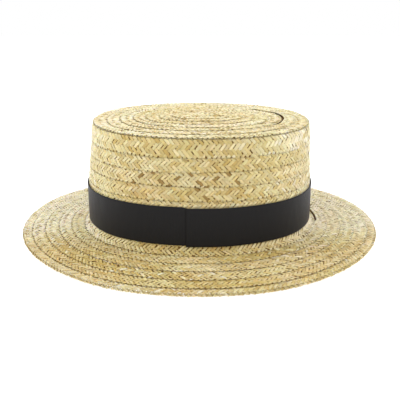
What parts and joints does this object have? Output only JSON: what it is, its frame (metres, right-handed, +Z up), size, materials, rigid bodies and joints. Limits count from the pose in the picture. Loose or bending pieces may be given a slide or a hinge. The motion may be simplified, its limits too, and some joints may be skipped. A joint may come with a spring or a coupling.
{
  "type": "straw boater hat",
  "caption": "Straw boater hat with a flat oval crown, a stiff near-level brim with a rolled edge row, and a dark ribbon lapped at one side.",
  "frame": {"origin": "on the surface the hat stands on, under the middle of the brim", "axes": "+Z up, +X along the long axis of the oval, from back to front of the head or the other way; the ribbon's lap is on the -Y side"},
  "size_m": [0.32, 0.295, 0.1017],
  "materials": {
    "straw": "satin",
    "edge_straw": "satin",
    "ribbon": "satin"
  },
  "bodies": {
    "root": {"crown_tip": "straw", "crown_side": "straw", "brim": "straw", "brim_edge": "edge_straw", "hat_band": "ribbon"}
  },
  "joints": []
}
